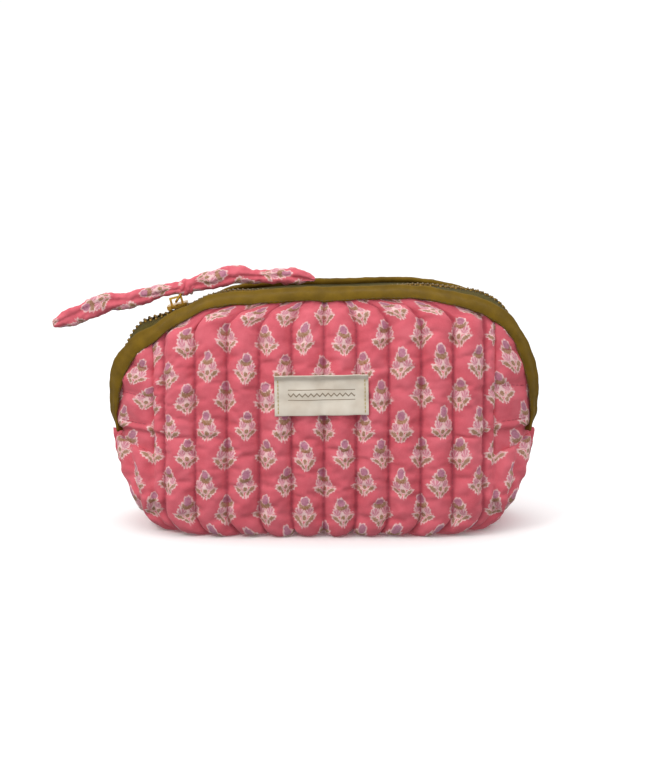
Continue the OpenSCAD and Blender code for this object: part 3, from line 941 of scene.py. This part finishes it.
gussets = []
for end, end_word in ((-1, "left"), (1, "right")):
    for side, word in ((-1, "front"), (1, "back")):
        outer = build_gusset(f"{end_word}_gusset_{word}", end, side, 0.0, 1.2, 1.9)
        turn = end * 2 + side
        paint(outer, COTTON)
        subdivide(outer)
        crumple(outer, 8, 1.1, seed=20 + turn)
        crumple(outer, 3, 0.35, seed=25 + turn)
        inner = build_gusset(f"{end_word}_gusset_lining_{word}", end, side, LINING_OFF, -0.5, -0.9)
        paint(inner, LINING)
        crumple(inner, 8, 0.6, seed=30 + turn)
        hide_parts(end_word + "_gusset_outer", end_word + "_gusset_wadding")
        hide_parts(end_word + "_gusset_lining")
        bend_with(outer, side)
        bend_with(inner, side)
        gussets.append((outer, end_word, side))


# ---------------------------------------------------------------- bindings, tape and teeth
def at_edge(s, d, y):
    """Point d below the arch and y out from the binding's inner face."""
    x, z = below_arch(s, d)
    return x, -(half_gap(z) + y), z


def build_strip(name, side, ring_at, stations, across):
    """Closed strip swept along the zip from ring_at(s); across gives each ring point's cloth place."""
    verts, uvs = [], []
    for s in stations:
        verts.extend(Vector(p) for p in ring_at(s))
        uvs.extend((s, v) for v in across)
    cols = len(across)
    faces = grid_faces(len(stations), cols, loop=True, flip=True)
    faces.append(tuple(range(cols)))
    faces.append(tuple(range(len(verts) - 1, len(verts) - cols - 1, -1)))
    obj = new_object(name, verts, faces, uvs)
    if side > 0:
        mirror_y(obj)
    return obj


def binding_share(s):
    """The binding narrows towards its two ends."""
    return 0.42 + 0.58 * float(ease(from_end(s), 0, 36))


def binding_ring(s):
    tuck = 2.6 * min(max((7 - from_end(s)) / 8, 0), 1)
    wave = 0.25 * math.sin(s * 0.21) + 0.2 * math.sin(s * 0.47 + 1)
    share = binding_share(s)
    outside = ((8.2 + wave, 0.1), (7.9 + wave, 0.9), (6.2, 1.5), (4.2, 1.75), (2.4, 1.45))
    over = ((0.5, 4.5), (-0.9, 3.5), (-1.3, 2.2), (-0.8, 0.9), (0.6, 0.3))
    inside = ((3.0, QUILT_T, -1.0), (6.4, QUILT_T, -1.0), (6.6, QUILT_T, 0.2), (3.0, 2.5, 0.0))
    return ([on_wall(s, d * share + tuck, 0, lift) for d, lift in outside]
            + [at_edge(s, d + tuck, y) for d, y in over]
            + [on_wall(s, d + tuck, off, lift) for d, off, lift in inside])


SLIDER_ANGLE = math.radians(14.3)
SLIDER_S = 2 * HALF_ARCH - (UPRIGHT + SHOULDER_ARC + (JOIN - SLIDER_ANGLE) * TOP_R)
# Depth of the teeth below the arch at distances from each end: the zip bulges out over both shoulders
CHAIN_RIGHT = ((0, 2.5), (40, 2.5), (54, 1.4), (60, 0.0), (67, -1.6), (80, -2.2), (94, -0.6),
               (114, 1.1), (135, 3.3))
CHAIN_LEFT = ((0, 2.5), (40, 1.5), (50, -0.5), (58, -2.4), (64, -3.0), (70, -1.2), (76, 2.2),
              (79, 3.1), (88, 3.1), (97, 1.5), (110, 1.0), (125, 1.4), (140, 3.3))
TOOTH_PITCH = 2.7
CHAIN_END = 7.0
CHAIN_ROOM = 3.2


def chain_depth(s):
    """Depth of the teeth below the arch, smoothed."""
    table = CHAIN_RIGHT if s < HALF_ARCH else CHAIN_LEFT
    near = [float(np.interp(from_end(s) + k, *zip(*table))) for k in (-3, -1.5, 0, 1.5, 3)]
    return sum(near) / len(near)


def parting(s):
    """How far each row of teeth stands from the middle: closed on the right, open left of the slider."""
    past = s - SLIDER_S - 3
    return 0.0 if past < 0 else min(past * 0.28, 2.6, 0.5 + from_end(s) * 0.12)


def tape_ring(s):
    g = half_gap(arch(s)[1])
    inner = 2.2 + min(parting(s), max(g - CHAIN_ROOM, 0))
    outer = g + 1.0
    mid = (inner + outer) / 2
    depth = chain_depth(s)
    sag = 1.9 * 0.35 + depth * 0.65
    top = [(1.9, outer), (sag, mid), (depth - 0.25, inner)]
    low = [(depth + 0.25, inner), (sag + 0.5, mid), (2.4, outer)]
    return [(below_arch(s, d)[0], -y, below_arch(s, d)[1]) for d, y in top + low]


def tooth_points(along, tip, root):
    """Rings of one tooth: bulb at the tip, waist, and legs that clamp the tape."""
    rings = ((tip, 0.55, 0.6), (tip + 0.45, 0.95, 0.95), (tip + 1.2, 0.8, 0.8),
             (tip + 1.9, 0.95, 1.0), (root, 0.85, 1.0))
    out = []
    for y, wide, tall in rings:
        for k in range(8):
            a = math.radians(45 * k + 22.5)
            out.append((along * wide * math.cos(a) * 1.15, y, 1.1 * tall * math.sin(a)))
    return out


def build_teeth(name, side):
    verts, faces = [], []
    for i in range(int((2 * HALF_ARCH - 2 * CHAIN_END) / TOOTH_PITCH)):
        s = CHAIN_END + (i + (0.5 if side > 0 else 0.0)) * TOOTH_PITCH
        x, z, nx, nz = arch(s)
        cx, cz = x - chain_depth(s) * nx, z - chain_depth(s) * nz
        shift = min(parting(s), max(half_gap(z) - CHAIN_ROOM, 0))
        start = len(verts)
        for a, y, b in tooth_points(0.72, -0.75 + shift, 3.0 + shift):
            verts.append(Vector((cx + a * nz + b * nx, -y, cz - a * nx + b * nz)))
        faces.extend(grid_faces(5, 8, start, loop=True, flip=True))
        faces.append(tuple(start + k for k in range(8)))
        faces.append(tuple(start + 32 + k for k in range(7, -1, -1)))
    obj = new_object(name, verts, faces)
    if side > 0:
        mirror_y(obj)
    return obj


def capsule_mesh(name, segments, radius, sides=6):
    """Short rounded stitches between pairs of points, in millimetres."""
    shape = ((0.0, 0.35), (0.12, 0.85), (0.5, 1.0), (0.88, 0.85), (1.0, 0.35))
    turns = [2 * math.pi * k / sides for k in range(sides)]
    verts, faces = [], []
    for a, b in segments:
        a, b = Vector(a), Vector(b)
        axis = (b - a).normalized()
        u = axis.orthogonal().normalized()
        v = axis.cross(u)
        start = len(verts)
        for t, r in shape:
            verts.extend(a.lerp(b, t) + (u * math.cos(w) + v * math.sin(w)) * radius * r for w in turns)
        faces.extend(grid_faces(len(shape), sides, start, loop=True))
        faces.append(tuple(start + k for k in range(sides - 1, -1, -1)))
        faces.append(tuple(start + (len(shape) - 1) * sides + k for k in range(sides)))
    return new_object(name, verts, faces)


def stitch_along(line, length, pitch):
    """Pairs of points for running stitches along a list of points."""
    steps = [0.0]
    for a, b in zip(line, line[1:]):
        steps.append(steps[-1] + (Vector(b) - Vector(a)).length)

    def at(t):
        for i in range(len(line) - 1):
            if steps[i + 1] >= t:
                span = max(steps[i + 1] - steps[i], 1e-6)
                return Vector(line[i]).lerp(Vector(line[i + 1]), (t - steps[i]) / span)
        return Vector(line[-1])

    count = int((steps[-1] - length) / pitch)
    return [(at(i * pitch + pitch - length), at(i * pitch + pitch)) for i in range(max(count, 0))]


def seam_lines(obj, seams, low, high, out):
    """Polylines on a quilt along given cloth columns, lifted off its surface."""
    co, no, uv = points_of(obj) / MM, normals_of(obj), vertex_uv(obj)
    lines = []
    for x in seams:
        pick = np.nonzero((abs(uv[:, 0] - x) < 0.05) & (uv[:, 1] > low) & (co[:, 2] < high(x)))[0]
        pick = pick[np.argsort(uv[pick, 1])]
        lines.append([tuple(co[i] + no[i] * out) for i in pick])
    return lines


for side, word in ((-1, "front"), (1, "back")):
    stations = [-3 + (2 * HALF_ARCH + 6) * i / 210 for i in range(211)]
    across = [0, 0.8, 2.6, 4.6, 6.4, 8.6, 10.2, 11.6, 13.2, 14.8, 17.2, 20.6, 21.8, 24.0]
    binding = build_strip(word + "_bias_binding", side, binding_ring, stations, across)
    paint(binding, BINDING)
    subdivide(binding)
    crumple(binding, 6, 0.45, seed=40 + side)
    crumple(binding, 2.2, 0.14, seed=42 + side)
    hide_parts(word + "_binding")
    bend_with(binding, side)

    inner = [2 + (2 * HALF_ARCH - 4) * i / 190 for i in range(191)]
    tape = build_strip(word + "_woven_tape", side, tape_ring, inner, [0, 4, 8, 8.5, 12.5, 16.5])
    paint(tape, TAPE)
    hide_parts(word + "_zip_tape")
    bend_with(tape, side)

    teeth = build_teeth(word + "_metal_teeth", side)
    paint(teeth, TEETH)
    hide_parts(word + "_zip_teeth")
    bend_with(teeth, side)

    places = [8 + (2 * HALF_ARCH - 16) * i / 260 for i in range(261)]
    line = [on_wall(s, 7.1 * binding_share(s), 0, 1.6) for s in places]
    if side > 0:
        line = [(x, -y, z) for x, y, z in line]
    topstitch = capsule_mesh(word + "_topstitching", stitch_along(line, 2.0, 2.7), 0.2)
    paint(topstitch, OLIVE_THREAD)
    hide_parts(word + "_binding_thread")
    bend_with(topstitch, side)

    quilt = front_quilt if side < 0 else back_quilt
    reach = int(CORNER_X // CHANNEL)
    seams = [k * CHANNEL for k in range(-reach, reach + 1)]
    lines = seam_lines(quilt, seams, 4.0, lambda x: arch_z(x) - 9.5, 0.12)
    segments = [pair for line in lines for pair in stitch_along(line, 2.3, 3.1)]
    threads = capsule_mesh(word + "_quilting_stitches", segments, 0.21)
    paint(threads, PINK_THREAD)
    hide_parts(word + "_quilting_thread", *(("base_quilting_thread",) if side < 0 else ()))
    bend_with(threads, side, sag=False)

for outer, end_word, side in gussets:
    co, no, uv = points_of(outer) / MM, normals_of(outer), vertex_uv(outer)
    segments = []
    for z in GUSSET_SEAMS:
        across = uv[:, 0] - GUSSET_CLOTH - GUSSET_TILT * (z - GUSSET_SEAMS[0])
        pick = np.nonzero((abs(uv[:, 1] - z) < 0.45) & (across > 3) & (across < 26))[0]
        pick = pick[np.argsort(uv[pick, 0])]
        segments.extend(stitch_along([tuple(co[i] + no[i] * 0.1) for i in pick], 2.3, 3.1))
    threads = capsule_mesh(outer.name + "_stitches", segments, 0.21)
    paint(threads, PINK_THREAD)
    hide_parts(end_word + "_gusset_thread")
    bend_with(threads, side, sag=False)

# ---------------------------------------------------------------- label
LABEL_W, LABEL_H, LABEL_Z, LABEL_X = 49.0, 21.4, 77.7, -1.2
LABEL_TILT = math.radians(0.9)
LABEL_GRID = 49


def label_rest():
    """How far forward the quilt stands under a grid of the label's points, smoothed as the label spans it."""
    tree = BVHTree.FromObject(front_quilt, bpy.context.evaluated_depsgraph_get())
    us = np.linspace(-0.5, 0.5, LABEL_GRID)
    front = np.zeros((LABEL_GRID, LABEL_GRID))
    for i, u in enumerate(us):
        for j, v in enumerate(us):
            x, z = label_place(u, v)
            hit = tree.ray_cast(Vector((x, -90, z)) * MM, Vector((0, 1, 0)))[0]
            front[i, j] = hit.y / MM
    for axis in (0, 1):
        front = np.min([np.roll(front, k, axis) for k in range(-4, 5)], axis=0)
    for _ in range(10):
        padded = np.pad(front, 1, mode="edge")
        front = (padded[:-2, 1:-1] + padded[2:, 1:-1] + padded[1:-1, :-2] + padded[1:-1, 2:] + front) / 5
    return front


def label_place(u, v):
    """x and z of a point of the label; u and v run from -0.5 to 0.5 across and up it."""
    px, pz = u * LABEL_W, v * LABEL_H
    return (LABEL_X + px * math.cos(LABEL_TILT) - pz * math.sin(LABEL_TILT),
            LABEL_Z + px * math.sin(LABEL_TILT) + pz * math.cos(LABEL_TILT))


LABEL_REST = label_rest()


def label_point(u, v, lift):
    """Point of the label's face, lifted off the quilt that it is sewn to."""
    x, z = label_place(u, v)
    i, j = (u + 0.5) * (LABEL_GRID - 1), (v + 0.5) * (LABEL_GRID - 1)
    a, b = min(int(i), LABEL_GRID - 2), min(int(j), LABEL_GRID - 2)
    f, g = i - a, j - b
    rest = (LABEL_REST[a, b] * (1 - f) * (1 - g) + LABEL_REST[a + 1, b] * f * (1 - g)
            + LABEL_REST[a, b + 1] * (1 - f) * g + LABEL_REST[a + 1, b + 1] * f * g)
    wave = 0.12 * math.sin(u * 19) * math.cos(v * 5)
    return Vector((x, rest - 0.25 - wave - lift, z))


def build_label():
    cols, rows = 60, 26
    verts, uvs = [], []
    for j in range(rows + 1):
        for i in range(cols + 1):
            u, v = i / cols - 0.5, j / rows - 0.5
            verts.append(label_point(u, v, 0))
            uvs.append((u * LABEL_W, v * LABEL_H))
    obj = new_object("woven_label", verts, grid_faces(rows + 1, cols + 1), uvs)
    solid = obj.modifiers.new("thickness", "SOLIDIFY")
    solid.thickness = 0.55 * MM
    solid.offset = 1
    bevel = obj.modifiers.new("edge", "BEVEL")
    bevel.width = 0.18 * MM
    bevel.segments = 2
    bevel.limit_method = "ANGLE"
    apply_modifiers(obj)
    return obj


label = build_label()
paint(label, CREAM)
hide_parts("label")
bend_with(label, -1, sag=False)
segments = []
for u in (-0.462, 0.462):
    line = [tuple(label_point(u, v, 0.68)) for v in np.linspace(-0.46, 0.46, 24)]
    segments.extend(stitch_along(line, 1.55, 2.0))
label_stitches = capsule_mesh("label_stitches", segments, 0.2)
paint(label_stitches, GOLD_THREAD)
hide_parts("label_thread")
bend_with(label_stitches, -1, sag=False)

# ---------------------------------------------------------------- tie
KNOT = Vector((-74.0, 0.0, 128.5))
# Middle line of each tail: x, z and half of its height there
LEFT_TAIL = [(-75, 128, 3.5), (-84, 127, 3.2), (-94, 124.5, 4), (-104, 121.5, 4.6), (-116, 120, 5.2),
             (-124, 117, 5.2), (-132, 113.5, 5), (-140, 111, 4.6), (-146, 108.5, 3)]
RIGHT_TAIL = [(-75, 129, 3.5), (-66, 131.2, 4.2), (-59, 132.8, 5), (-52, 134.6, 5.2), (-46, 135.2, 4.8),
              (-39, 134.6, 4), (-31, 134.2, 3.4), (-25, 134.4, 4), (-18, 134.4, 4.4), (-12, 134, 4),
              (-5, 132.6, 1.6)]


def smooth_route(route, step):
    """Evenly spaced points through a given route, by Catmull-Rom."""
    pts = [np.array(p, float) for p in route]
    pts = [2 * pts[0] - pts[1]] + pts + [2 * pts[-1] - pts[-2]]
    out = []
    for i in range(1, len(pts) - 2):
        n = max(int(np.linalg.norm(pts[i + 1][:2] - pts[i][:2]) / step), 1)
        for k in range(n):
            t = k / n
            a, b, c, d = pts[i - 1], pts[i], pts[i + 1], pts[i + 2]
            square, cube = 2 * a - 5 * b + 4 * c - d, 3 * b - a - 3 * c + d
            out.append(0.5 * (2 * b + (c - a) * t + square * t**2 + cube * t**3))
    out.append(pts[-2])
    return out


def build_tail(name, route, crease_side):
    """One tail of the tie: a stuffed strip that tapers at its free end."""
    sides, depth = 32, 3.4
    path = smooth_route(route, 0.9)
    verts, uvs = [], []
    for i, p in enumerate(path):
        a, b = path[max(i - 1, 0)], path[min(i + 1, len(path) - 1)]
        t = np.array([b[0] - a[0], b[1] - a[1]])
        t /= np.linalg.norm(t)
        up = np.array([-t[1], t[0]])
        if up[1] < 0:
            up = -up
        k = i / (len(path) - 1)
        end = min((1 - k) * 9, 1) ** 0.6
        for j in range(sides):
            angle = 2 * math.pi * j / sides
            h = p[2] * math.cos(angle)
            # A lengthwise fold divides the strip into two soft lobes
            fold = math.exp(-((math.cos(angle) - 0.12 * crease_side + 0.25 * math.sin(k * 7)) / 0.22) ** 2)
            y = depth * math.sin(angle) * (1 - 0.42 * fold) * (0.35 + 0.65 * end)
            h *= 0.5 + 0.5 * end
            verts.append(Vector((p[0] + h * up[0], y, p[1] + h * up[1])))
            uvs.append((j * 30.0 / sides + 5, i * 0.9))
    faces = grid_faces(len(path), sides, loop=True)
    faces.append(tuple(range(sides - 1, -1, -1)))
    faces.append(tuple(range(len(verts) - sides, len(verts))))
    obj = new_object(name, verts, faces, uvs)
    face_outward(obj)
    subdivide(obj)
    crumple(obj, 5, 1.3, seed=50 + crease_side)
    crumple(obj, 2.4, 0.45, seed=52 + crease_side)
    paint(obj, TIE_COTTON)
    return obj


left_tail = build_tail("tie_left_tail", LEFT_TAIL, 1)
right_tail = build_tail("tie_right_tail", RIGHT_TAIL, -1)
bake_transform(left_tail)
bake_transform(right_tail)


def build_knot():
    """The tie's knot: a band wound twice over the crossed strands."""
    verts, uvs = [], []
    around, over = 56, 40
    for j in range(over + 1):
        v = math.pi * j / over
        for i in range(around):
            u = 2 * math.pi * i / around
            n = Vector((math.cos(v), math.sin(v) * math.cos(u), math.sin(v) * math.sin(u)))
            groove = math.exp(-((n.x - 0.28 * n.z + 0.1) / 0.13) ** 2)
            groove += 0.7 * math.exp(-((n.x - 0.3 * n.z - 0.62) / 0.12) ** 2)
            r = 1 - 0.15 * groove + 0.035 * math.sin(9 * n.x + 5 * n.z)
            verts.append(KNOT + Vector((n.x * 5.2, n.y * 4.5, n.z * 4.6)) * r)
            uvs.append((u / (2 * math.pi) * 28, v / math.pi * 12))
    obj = new_object("tie_knot", verts, grid_faces(over + 1, around, loop=True), uvs)
    weld(obj, 1e-6)
    face_outward(obj)
    subdivide(obj)
    crumple(obj, 2.6, 0.5, seed=61)
    return obj


knot = build_knot()
paint(knot, TIE_COTTON)
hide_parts("tie")
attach(knot, "pull")

# ---------------------------------------------------------------- metal carried over from the CAD
METAL_NODES = {
    "slider_body": (GOLD, 0.35), "slider_bridge": (GOLD, 0.3), "pull_loop": (GOLD, 0.0),
    "front_top_stop": (TEETH, 0.4), "back_top_stop": (TEETH, 0.4), "zip_bottom_stop": (TEETH, 0.4),
}
for name, (material, edge) in METAL_NODES.items():
    node = bpy.data.objects[name]
    node.data.materials.clear()
    node.data.materials.append(material)
    if edge:
        bevel = node.modifiers.new("worn_edge", "BEVEL")
        bevel.width = edge * MM
        bevel.segments = 3

# ---------------------------------------------------------------- camera, light and floor
def look_from(target, azimuth, elevation, distance):
    """Place and rotation of something that faces the target; azimuth 0 is the front."""
    a, e = math.radians(azimuth), math.radians(elevation)
    away = Vector((math.sin(a) * math.cos(e), -math.cos(a) * math.cos(e), math.sin(e)))
    return target + away * distance, (-away).to_track_quat("-Z", "Y")


ELEVATION = 11.0
LENS = 100.0
SENSOR = 36
VIEW_W = 0.3554  # width of the view at the target, in metres
target = Vector((0.0019, 0, 0.075))
cam = bpy.data.cameras.new("camera")
cam.lens = LENS
cam.sensor_width = SENSOR
cam.sensor_fit = "HORIZONTAL"
camera = bpy.data.objects.new("camera", cam)
camera.rotation_mode = "QUATERNION"
camera.location, camera.rotation_quaternion = look_from(target, 0, ELEVATION, VIEW_W / SENSOR * LENS)
cam.clip_end = 20
bpy.context.scene.collection.objects.link(camera)
bpy.context.scene.camera = camera


def area_light(name, size, power, azimuth, elevation, distance, color=(1, 1, 1)):
    data = bpy.data.lights.new(name, "AREA")
    data.shape = "DISK"
    data.size = size
    data.energy = power
    data.color = color
    lamp = bpy.data.objects.new(name, data)
    lamp.rotation_mode = "QUATERNION"
    lamp.location, lamp.rotation_quaternion = look_from(Vector((0, 0, 0.06)), azimuth, elevation, distance)
    bpy.context.scene.collection.objects.link(lamp)


area_light("key", 0.6, 6.2, -48, 42, 1.4, (1, 0.98, 0.95))
area_light("fill", 1.2, 0.8, 50, 35, 1.5, (0.96, 0.98, 1))
area_light("top", 1.2, 3.0, 180, 80, 1.3)

# White dome, dimmer below the horizon, so that the floor doesn't flood the underside
world = bpy.data.worlds.new("studio")
world.use_nodes = True
sky = world.node_tree
coord = sky.nodes.new("ShaderNodeTexCoord")
split = sky.nodes.new("ShaderNodeSeparateXYZ")
fade = sky.nodes.new("ShaderNodeMapRange")
sky.links.new(coord.outputs["Generated"], split.inputs[0])
sky.links.new(split.outputs[2], fade.inputs["Value"])
fade.inputs["From Min"].default_value = -0.32
fade.inputs["From Max"].default_value = -0.09
fade.inputs["To Min"].default_value = 0.25
fade.inputs["To Max"].default_value = 1.03
sky.links.new(fade.outputs["Result"], sky.nodes["Background"].inputs[1])
sky.nodes["Background"].inputs[0].default_value = (1, 1, 1, 1)
bpy.context.scene.world = world
bpy.context.scene.view_settings.view_transform = "Standard"

reach = 4000
corners = [(-reach, -reach, 0), (reach, -reach, 0), (reach, reach, 0), (-reach, reach, 0)]
floor = new_object("floor", corners, [(0, 1, 2, 3)])
white = Nodes("pale_floor")
floor.data.materials.append(white.finish(linear((254, 254, 254)), 0.95, specular=0.1))
floor.visible_diffuse = False
floor.visible_glossy = False
